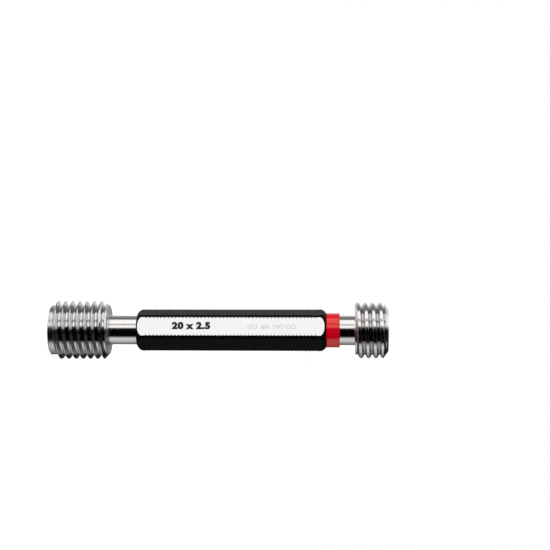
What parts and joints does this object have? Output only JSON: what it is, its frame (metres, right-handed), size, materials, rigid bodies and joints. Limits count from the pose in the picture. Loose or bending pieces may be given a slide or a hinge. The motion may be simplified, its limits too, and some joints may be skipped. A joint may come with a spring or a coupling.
{
  "type": "thread plug gauge",
  "caption": "Double-ended thread plug gauge: threaded GO and NO-GO members in a hexagonal handle, with a red ring marking the NO-GO end.",
  "frame": {"origin": "centre of the GO end face, on the axis of the gauge; the gauge stands on that face", "axes": "+Z along the axis, from the GO end to the NO-GO end; -Y is the outward normal of the handle flat that carries the marking"},
  "size_m": [0.02, 0.02, 0.1157],
  "materials": {
    "gauge_steel": "hardened steel, ground and lapped bright",
    "handle_steel": "blackened steel, semi-gloss, with ground bright flats",
    "ring_plastic": "glossy red"
  },
  "bodies": {
    "root": {"go_member": "gauge_steel", "no_go_member": "gauge_steel", "handle": "handle_steel", "no_go_ring": "ring_plastic"}
  },
  "joints": []
}
